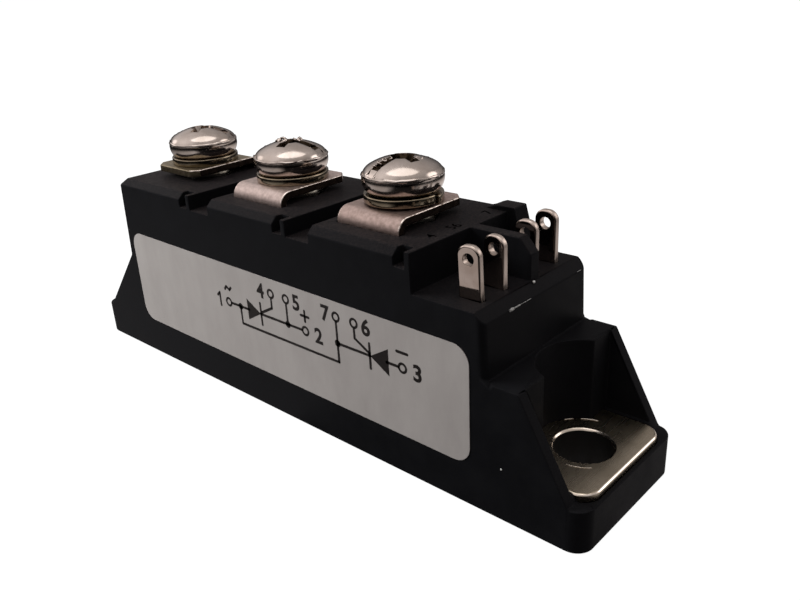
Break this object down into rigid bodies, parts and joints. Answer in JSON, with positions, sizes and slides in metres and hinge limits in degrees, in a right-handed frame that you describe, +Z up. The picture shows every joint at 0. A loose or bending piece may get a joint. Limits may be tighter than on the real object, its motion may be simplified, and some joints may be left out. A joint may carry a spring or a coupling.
{
  "type": "thyristor module",
  "caption": "Slim black power semiconductor module with screw terminals along its top, push-on gate tabs at one end and a flanged metal base plate for a heat sink.",
  "frame": {"origin": "middle of the base plate's underside, midway between the mounting holes", "axes": "+X along the body towards the push-on tabs, -Y towards the label, +Z up away from the heat sink"},
  "size_m": [0.092, 0.0201, 0.0353],
  "materials": {
    "black_plastic": "moulded, fine matt grain",
    "nickel_plate": "dull nickel plating on copper",
    "alumina": "fired, matt",
    "copper": "bare copper",
    "silicon": "polished wafer",
    "contact_metal": "dull grey metal",
    "tinned_copper": "matt tin plating",
    "tinned_brass": "bright tin plating",
    "wire_cover": "smooth wire cover",
    "zinc_steel": "zinc plating",
    "spring_steel": "plated spring steel",
    "nickel_steel": "bright nickel plating, scuffed at the drives",
    "soft_gel": "soft, slightly glossy",
    "label_foil": "grey printed foil"
  },
  "bodies": {
    "root": {"housing": "black_plastic", "base_plate": "nickel_plate", "ceramic_tile_1": "alumina", "ceramic_tile_2": "alumina", "pad_common": "copper", "pad_minus": "copper", "thyristor_chip_1": "silicon", "thyristor_chip_2": "silicon", "cathode_disc_1": "contact_metal", "cathode_disc_2": "contact_metal", "bridge_strap": "copper", "terminal_1": "tinned_copper", "terminal_2": "tinned_copper", "terminal_3": "tinned_copper", "tab_4": "tinned_brass", "tab_5": "tinned_brass", "tab_6": "tinned_brass", "tab_7": "tinned_brass", "lead_4": "wire_cover", "lead_5": "wire_cover", "lead_6": "wire_cover", "lead_7": "wire_cover", "captive_nuts": "zinc_steel", "spring_washers": "spring_steel", "terminal_screws": "nickel_steel", "gel_fill": "soft_gel", "label": "label_foil"}
  },
  "joints": []
}
